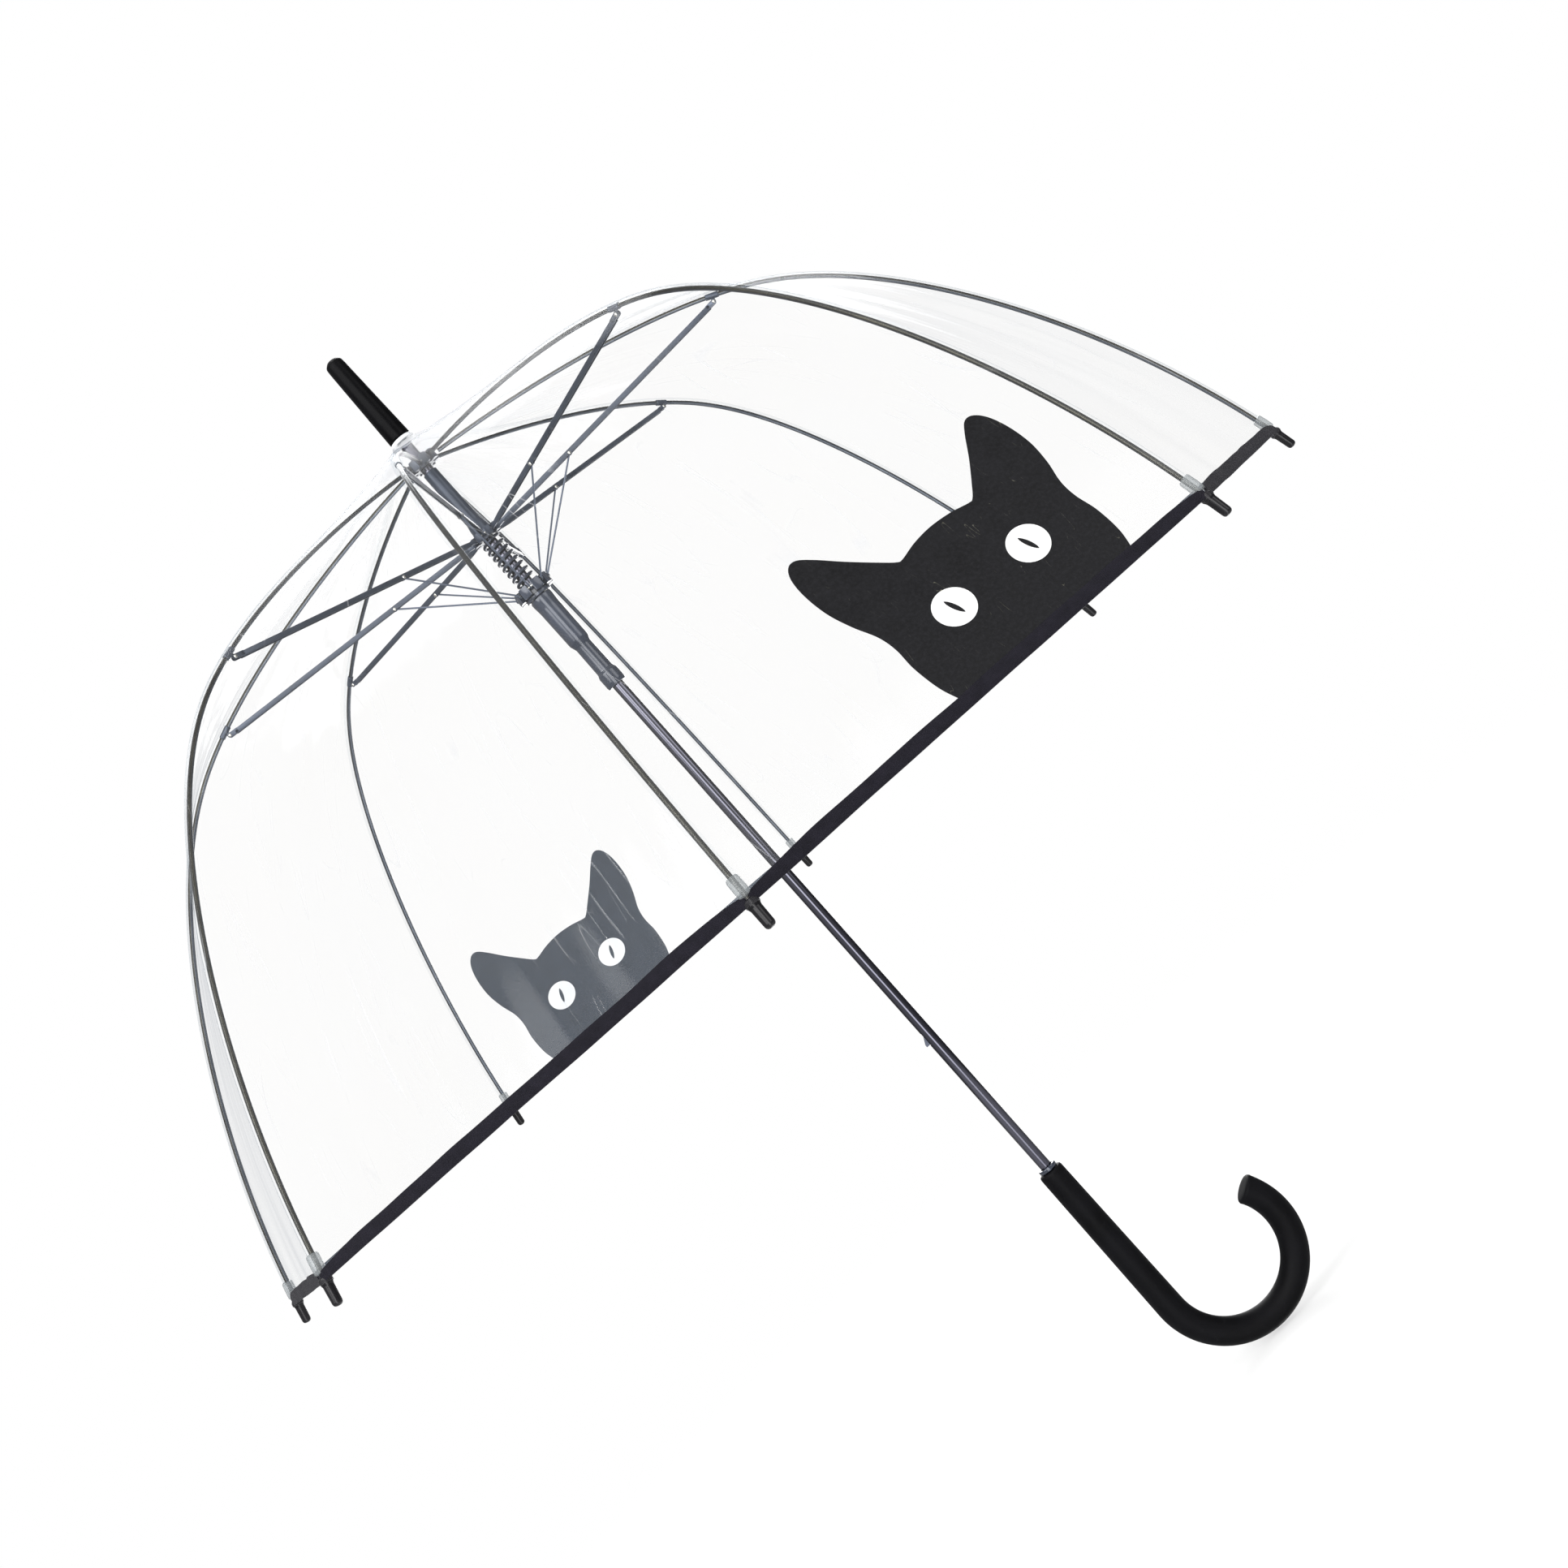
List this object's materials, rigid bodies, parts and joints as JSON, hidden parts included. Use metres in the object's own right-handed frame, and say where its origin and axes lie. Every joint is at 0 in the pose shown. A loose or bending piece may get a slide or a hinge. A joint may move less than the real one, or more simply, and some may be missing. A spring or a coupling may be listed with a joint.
{
  "type": "clear dome umbrella",
  "caption": "Clear film dome umbrella on curved steel ribs, with a sliding runner, folding stretchers, a black ferrule and a crook handle.",
  "frame": {"origin": "centre of the flat end face of the ferrule, on the shaft's axis", "axes": "+Z along the shaft from the handle to the ferrule, +X towards the side the handle's crook bends to"},
  "size_m": [0.85, 0.85, 0.8702],
  "materials": {
    "rib_steel": "dark, semi-gloss",
    "frame_steel": "slate, satin",
    "shaft_steel": "gunmetal, polished",
    "spring_steel": "dark steel wire",
    "black_plastic": "satin moulded",
    "soft_handle": "soft matte",
    "clear_washer": "milky clear",
    "clear_film": "clear, glossy"
  },
  "bodies": {
    "frame": {"shaft": "shaft_steel", "ferrule": "black_plastic", "top_washer": "clear_washer", "top_notch": "frame_steel", "handle_collar": "frame_steel", "handle": "soft_handle"},
    "catch": {"catch": "spring_steel"},
    "hub": {"stretcher_hub": "frame_steel"},
    "runner": {"runner_crown": "frame_steel", "runner_sleeve": "frame_steel", "main_spring": "spring_steel"},
    "rib_upper_1": {"rib_upper_1": "rib_steel"},
    "rib_lower_1": {"rib_lower_1": "rib_steel", "rib_tip_1": "black_plastic"},
    "stretcher_1": {"stretcher_1": "frame_steel"},
    "strut_1": {"strut_1": "frame_steel"},
    "gore_1": {"canopy_gore_1": "clear_film"},
    "rib_upper_2": {"rib_upper_2": "rib_steel"},
    "rib_lower_2": {"rib_lower_2": "rib_steel", "rib_tip_2": "black_plastic"},
    "stretcher_2": {"stretcher_2": "frame_steel"},
    "strut_2": {"strut_2": "frame_steel"},
    "gore_2": {"canopy_gore_2": "clear_film"},
    "rib_upper_3": {"rib_upper_3": "rib_steel"},
    "rib_lower_3": {"rib_lower_3": "rib_steel", "rib_tip_3": "black_plastic"},
    "stretcher_3": {"stretcher_3": "frame_steel"},
    "strut_3": {"strut_3": "frame_steel"},
    "gore_3": {"canopy_gore_3": "clear_film"},
    "rib_upper_4": {"rib_upper_4": "rib_steel"},
    "rib_lower_4": {"rib_lower_4": "rib_steel", "rib_tip_4": "black_plastic"},
    "stretcher_4": {"stretcher_4": "frame_steel"},
    "strut_4": {"strut_4": "frame_steel"},
    "gore_4": {"canopy_gore_4": "clear_film"},
    "rib_upper_5": {"rib_upper_5": "rib_steel"},
    "rib_lower_5": {"rib_lower_5": "rib_steel", "rib_tip_5": "black_plastic"},
    "stretcher_5": {"stretcher_5": "frame_steel"},
    "strut_5": {"strut_5": "frame_steel"},
    "gore_5": {"canopy_gore_5": "clear_film"},
    "rib_upper_6": {"rib_upper_6": "rib_steel"},
    "rib_lower_6": {"rib_lower_6": "rib_steel", "rib_tip_6": "black_plastic"},
    "stretcher_6": {"stretcher_6": "frame_steel"},
    "strut_6": {"strut_6": "frame_steel"},
    "gore_6": {"canopy_gore_6": "clear_film"},
    "rib_upper_7": {"rib_upper_7": "rib_steel"},
    "rib_lower_7": {"rib_lower_7": "rib_steel", "rib_tip_7": "black_plastic"},
    "stretcher_7": {"stretcher_7": "frame_steel"},
    "strut_7": {"strut_7": "frame_steel"},
    "gore_7": {"canopy_gore_7": "clear_film"},
    "rib_upper_8": {"rib_upper_8": "rib_steel"},
    "rib_lower_8": {"rib_lower_8": "rib_steel", "rib_tip_8": "black_plastic"},
    "stretcher_8": {"stretcher_8": "frame_steel"},
    "strut_8": {"strut_8": "frame_steel"},
    "gore_8": {"canopy_gore_8": "clear_film"}
  },
  "joints": [
    {"name": "runner_slide", "type": "slide", "parent": "frame", "child": "runner", "axis": [0, 0, -1], "range_m": [0, 0.30997]},
    {"name": "hub_slide", "type": "slide", "parent": "frame", "child": "hub", "axis": [0, 0, -1], "range_m": [0, 0.34097], "deforming": ["main_spring"]},
    {"name": "catch_press", "type": "slide", "parent": "frame", "child": "catch", "axis": [1, 0, 0], "range_m": [0, 0.0024]},
    {"name": "rib_1_swing", "type": "hinge", "parent": "frame", "child": "rib_upper_1", "pos_m": [0.00897, -0.00071, -0.0895], "axis": [0.0785, 0.9969, 0], "range_deg": [0, 68.02]},
    {"name": "rib_1_flex", "type": "hinge", "parent": "rib_upper_1", "child": "rib_lower_1", "pos_m": [0.24923, -0.01961, -0.154], "axis": [-0.0785, -0.9969, 0], "range_deg": [0, 39.5]},
    {"name": "stretcher_1_fold", "type": "hinge", "parent": "rib_upper_1", "child": "stretcher_1", "pos_m": [0.20972, -0.01651, -0.13777], "axis": [-0.0785, -0.9969, 0], "range_deg": [0, 145.47]},
    {"name": "strut_1_fold", "type": "hinge", "parent": "stretcher_1", "child": "strut_1", "pos_m": [0.07567, -0.00596, -0.14832], "axis": [0.0785, 0.9969, 0], "range_deg": [0, 31.39]},
    {"name": "gore_1_fold", "type": "hinge", "parent": "frame", "child": "gore_1", "pos_m": [-0.24596, -0.07992, 0.16227], "axis": [-0.309, 0.9511, 0], "range_deg": [0, 26.72], "deforming": ["canopy_gore_1"]},
    {"name": "rib_2_swing", "type": "hinge", "parent": "frame", "child": "rib_upper_2", "pos_m": [0.00684, 0.00585, -0.0895], "axis": [-0.6494, 0.7604, 0], "range_deg": [0, 68.02]},
    {"name": "rib_2_flex", "type": "hinge", "parent": "rib_upper_2", "child": "rib_lower_2", "pos_m": [0.1901, 0.16236, -0.154], "axis": [0.6494, -0.7604, 0], "range_deg": [0, 39.5]},
    {"name": "stretcher_2_fold", "type": "hinge", "parent": "rib_upper_2", "child": "stretcher_2", "pos_m": [0.15996, 0.13662, -0.13777], "axis": [0.6494, -0.7604, 0], "range_deg": [0, 145.47]},
    {"name": "strut_2_fold", "type": "hinge", "parent": "stretcher_2", "child": "strut_2", "pos_m": [0.05772, 0.0493, -0.14832], "axis": [-0.6494, 0.7604, 0], "range_deg": [0, 31.39]},
    {"name": "gore_2_fold", "type": "hinge", "parent": "frame", "child": "gore_2", "pos_m": [-0.11741, -0.23043, 0.16227], "axis": [-0.891, 0.454, 0], "range_deg": [0, 26.72], "deforming": ["canopy_gore_2"]},
    {"name": "rib_3_swing", "type": "hinge", "parent": "frame", "child": "rib_upper_3", "pos_m": [0.00071, 0.00897, -0.0895], "axis": [-0.9969, 0.0785, 0], "range_deg": [0, 68.02]},
    {"name": "rib_3_flex", "type": "hinge", "parent": "rib_upper_3", "child": "rib_lower_3", "pos_m": [0.01961, 0.24923, -0.154], "axis": [0.9969, -0.0785, 0], "range_deg": [0, 39.5]},
    {"name": "stretcher_3_fold", "type": "hinge", "parent": "rib_upper_3", "child": "stretcher_3", "pos_m": [0.01651, 0.20972, -0.13777], "axis": [0.9969, -0.0785, 0], "range_deg": [0, 145.47]},
    {"name": "strut_3_fold", "type": "hinge", "parent": "stretcher_3", "child": "strut_3", "pos_m": [0.00596, 0.07567, -0.14832], "axis": [-0.9969, 0.0785, 0], "range_deg": [0, 31.39]},
    {"name": "gore_3_fold", "type": "hinge", "parent": "frame", "child": "gore_3", "pos_m": [0.07992, -0.24596, 0.16227], "axis": [-0.9511, -0.309, 0], "range_deg": [0, 26.72], "deforming": ["canopy_gore_3"]},
    {"name": "rib_4_swing", "type": "hinge", "parent": "frame", "child": "rib_upper_4", "pos_m": [-0.00585, 0.00684, -0.0895], "axis": [-0.7604, -0.6494, 0], "range_deg": [0, 68.02]},
    {"name": "rib_4_flex", "type": "hinge", "parent": "rib_upper_4", "child": "rib_lower_4", "pos_m": [-0.16236, 0.1901, -0.154], "axis": [0.7604, 0.6494, 0], "range_deg": [0, 39.5]},
    {"name": "stretcher_4_fold", "type": "hinge", "parent": "rib_upper_4", "child": "stretcher_4", "pos_m": [-0.13662, 0.15996, -0.13777], "axis": [0.7604, 0.6494, 0], "range_deg": [0, 145.47]},
    {"name": "strut_4_fold", "type": "hinge", "parent": "stretcher_4", "child": "strut_4", "pos_m": [-0.0493, 0.05772, -0.14832], "axis": [-0.7604, -0.6494, 0], "range_deg": [0, 31.39]},
    {"name": "gore_4_fold", "type": "hinge", "parent": "frame", "child": "gore_4", "pos_m": [0.23043, -0.11741, 0.16227], "axis": [-0.454, -0.891, 0], "range_deg": [0, 26.72], "deforming": ["canopy_gore_4"]},
    {"name": "rib_5_swing", "type": "hinge", "parent": "frame", "child": "rib_upper_5", "pos_m": [-0.00897, 0.00071, -0.0895], "axis": [-0.0785, -0.9969, 0], "range_deg": [0, 68.02]},
    {"name": "rib_5_flex", "type": "hinge", "parent": "rib_upper_5", "child": "rib_lower_5", "pos_m": [-0.24923, 0.01961, -0.154], "axis": [0.0785, 0.9969, 0], "range_deg": [0, 39.5]},
    {"name": "stretcher_5_fold", "type": "hinge", "parent": "rib_upper_5", "child": "stretcher_5", "pos_m": [-0.20972, 0.01651, -0.13777], "axis": [0.0785, 0.9969, 0], "range_deg": [0, 145.47]},
    {"name": "strut_5_fold", "type": "hinge", "parent": "stretcher_5", "child": "strut_5", "pos_m": [-0.07567, 0.00596, -0.14832], "axis": [-0.0785, -0.9969, 0], "range_deg": [0, 31.39]},
    {"name": "gore_5_fold", "type": "hinge", "parent": "frame", "child": "gore_5", "pos_m": [0.24596, 0.07992, 0.16227], "axis": [0.309, -0.9511, 0], "range_deg": [0, 26.72], "deforming": ["canopy_gore_5"]},
    {"name": "rib_6_swing", "type": "hinge", "parent": "frame", "child": "rib_upper_6", "pos_m": [-0.00684, -0.00585, -0.0895], "axis": [0.6494, -0.7604, 0], "range_deg": [0, 68.02]},
    {"name": "rib_6_flex", "type": "hinge", "parent": "rib_upper_6", "child": "rib_lower_6", "pos_m": [-0.1901, -0.16236, -0.154], "axis": [-0.6494, 0.7604, 0], "range_deg": [0, 39.5]},
    {"name": "stretcher_6_fold", "type": "hinge", "parent": "rib_upper_6", "child": "stretcher_6", "pos_m": [-0.15996, -0.13662, -0.13777], "axis": [-0.6494, 0.7604, 0], "range_deg": [0, 145.47]},
    {"name": "strut_6_fold", "type": "hinge", "parent": "stretcher_6", "child": "strut_6", "pos_m": [-0.05772, -0.0493, -0.14832], "axis": [0.6494, -0.7604, 0], "range_deg": [0, 31.39]},
    {"name": "gore_6_fold", "type": "hinge", "parent": "frame", "child": "gore_6", "pos_m": [0.11741, 0.23043, 0.16227], "axis": [0.891, -0.454, 0], "range_deg": [0, 26.72], "deforming": ["canopy_gore_6"]},
    {"name": "rib_7_swing", "type": "hinge", "parent": "frame", "child": "rib_upper_7", "pos_m": [-0.00071, -0.00897, -0.0895], "axis": [0.9969, -0.0785, 0], "range_deg": [0, 68.02]},
    {"name": "rib_7_flex", "type": "hinge", "parent": "rib_upper_7", "child": "rib_lower_7", "pos_m": [-0.01961, -0.24923, -0.154], "axis": [-0.9969, 0.0785, 0], "range_deg": [0, 39.5]},
    {"name": "stretcher_7_fold", "type": "hinge", "parent": "rib_upper_7", "child": "stretcher_7", "pos_m": [-0.01651, -0.20972, -0.13777], "axis": [-0.9969, 0.0785, 0], "range_deg": [0, 145.47]},
    {"name": "strut_7_fold", "type": "hinge", "parent": "stretcher_7", "child": "strut_7", "pos_m": [-0.00596, -0.07567, -0.14832], "axis": [0.9969, -0.0785, 0], "range_deg": [0, 31.39]},
    {"name": "gore_7_fold", "type": "hinge", "parent": "frame", "child": "gore_7", "pos_m": [-0.07992, 0.24596, 0.16227], "axis": [0.9511, 0.309, 0], "range_deg": [0, 26.72], "deforming": ["canopy_gore_7"]},
    {"name": "rib_8_swing", "type": "hinge", "parent": "frame", "child": "rib_upper_8", "pos_m": [0.00585, -0.00684, -0.0895], "axis": [0.7604, 0.6494, 0], "range_deg": [0, 68.02]},
    {"name": "rib_8_flex", "type": "hinge", "parent": "rib_upper_8", "child": "rib_lower_8", "pos_m": [0.16236, -0.1901, -0.154], "axis": [-0.7604, -0.6494, 0], "range_deg": [0, 39.5]},
    {"name": "stretcher_8_fold", "type": "hinge", "parent": "rib_upper_8", "child": "stretcher_8", "pos_m": [0.13662, -0.15996, -0.13777], "axis": [-0.7604, -0.6494, 0], "range_deg": [0, 145.47]},
    {"name": "strut_8_fold", "type": "hinge", "parent": "stretcher_8", "child": "strut_8", "pos_m": [0.0493, -0.05772, -0.14832], "axis": [0.7604, 0.6494, 0], "range_deg": [0, 31.39]},
    {"name": "gore_8_fold", "type": "hinge", "parent": "frame", "child": "gore_8", "pos_m": [-0.23043, 0.11741, 0.16227], "axis": [0.454, 0.891, 0], "range_deg": [0, 26.72], "deforming": ["canopy_gore_8"]}
  ],
  "couplings": [
    {"joint": "hub_slide", "follows": "runner_slide", "ratio": 1.1},
    {"joint": "rib_1_swing", "follows": "runner_slide", "rad_per_m": 3.8298},
    {"joint": "rib_1_flex", "follows": "runner_slide", "rad_per_m": 2.2239},
    {"joint": "stretcher_1_fold", "follows": "runner_slide", "rad_per_m": 8.1912},
    {"joint": "strut_1_fold", "follows": "runner_slide", "rad_per_m": 1.7678},
    {"joint": "gore_1_fold", "follows": "runner_slide", "rad_per_m": 1.5044},
    {"joint": "rib_2_swing", "follows": "runner_slide", "rad_per_m": 3.8298},
    {"joint": "rib_2_flex", "follows": "runner_slide", "rad_per_m": 2.2239},
    {"joint": "stretcher_2_fold", "follows": "runner_slide", "rad_per_m": 8.1912},
    {"joint": "strut_2_fold", "follows": "runner_slide", "rad_per_m": 1.7678},
    {"joint": "gore_2_fold", "follows": "runner_slide", "rad_per_m": 1.5044},
    {"joint": "rib_3_swing", "follows": "runner_slide", "rad_per_m": 3.8298},
    {"joint": "rib_3_flex", "follows": "runner_slide", "rad_per_m": 2.2239},
    {"joint": "stretcher_3_fold", "follows": "runner_slide", "rad_per_m": 8.1912},
    {"joint": "strut_3_fold", "follows": "runner_slide", "rad_per_m": 1.7678},
    {"joint": "gore_3_fold", "follows": "runner_slide", "rad_per_m": 1.5044},
    {"joint": "rib_4_swing", "follows": "runner_slide", "rad_per_m": 3.8298},
    {"joint": "rib_4_flex", "follows": "runner_slide", "rad_per_m": 2.2239},
    {"joint": "stretcher_4_fold", "follows": "runner_slide", "rad_per_m": 8.1912},
    {"joint": "strut_4_fold", "follows": "runner_slide", "rad_per_m": 1.7678},
    {"joint": "gore_4_fold", "follows": "runner_slide", "rad_per_m": 1.5044},
    {"joint": "rib_5_swing", "follows": "runner_slide", "rad_per_m": 3.8298},
    {"joint": "rib_5_flex", "follows": "runner_slide", "rad_per_m": 2.2239},
    {"joint": "stretcher_5_fold", "follows": "runner_slide", "rad_per_m": 8.1912},
    {"joint": "strut_5_fold", "follows": "runner_slide", "rad_per_m": 1.7678},
    {"joint": "gore_5_fold", "follows": "runner_slide", "rad_per_m": 1.5044},
    {"joint": "rib_6_swing", "follows": "runner_slide", "rad_per_m": 3.8298},
    {"joint": "rib_6_flex", "follows": "runner_slide", "rad_per_m": 2.2239},
    {"joint": "stretcher_6_fold", "follows": "runner_slide", "rad_per_m": 8.1912},
    {"joint": "strut_6_fold", "follows": "runner_slide", "rad_per_m": 1.7678},
    {"joint": "gore_6_fold", "follows": "runner_slide", "rad_per_m": 1.5044},
    {"joint": "rib_7_swing", "follows": "runner_slide", "rad_per_m": 3.8298},
    {"joint": "rib_7_flex", "follows": "runner_slide", "rad_per_m": 2.2239},
    {"joint": "stretcher_7_fold", "follows": "runner_slide", "rad_per_m": 8.1912},
    {"joint": "strut_7_fold", "follows": "runner_slide", "rad_per_m": 1.7678},
    {"joint": "gore_7_fold", "follows": "runner_slide", "rad_per_m": 1.5044},
    {"joint": "rib_8_swing", "follows": "runner_slide", "rad_per_m": 3.8298},
    {"joint": "rib_8_flex", "follows": "runner_slide", "rad_per_m": 2.2239},
    {"joint": "stretcher_8_fold", "follows": "runner_slide", "rad_per_m": 8.1912},
    {"joint": "strut_8_fold", "follows": "runner_slide", "rad_per_m": 1.7678},
    {"joint": "gore_8_fold", "follows": "runner_slide", "rad_per_m": 1.5044}
  ]
}
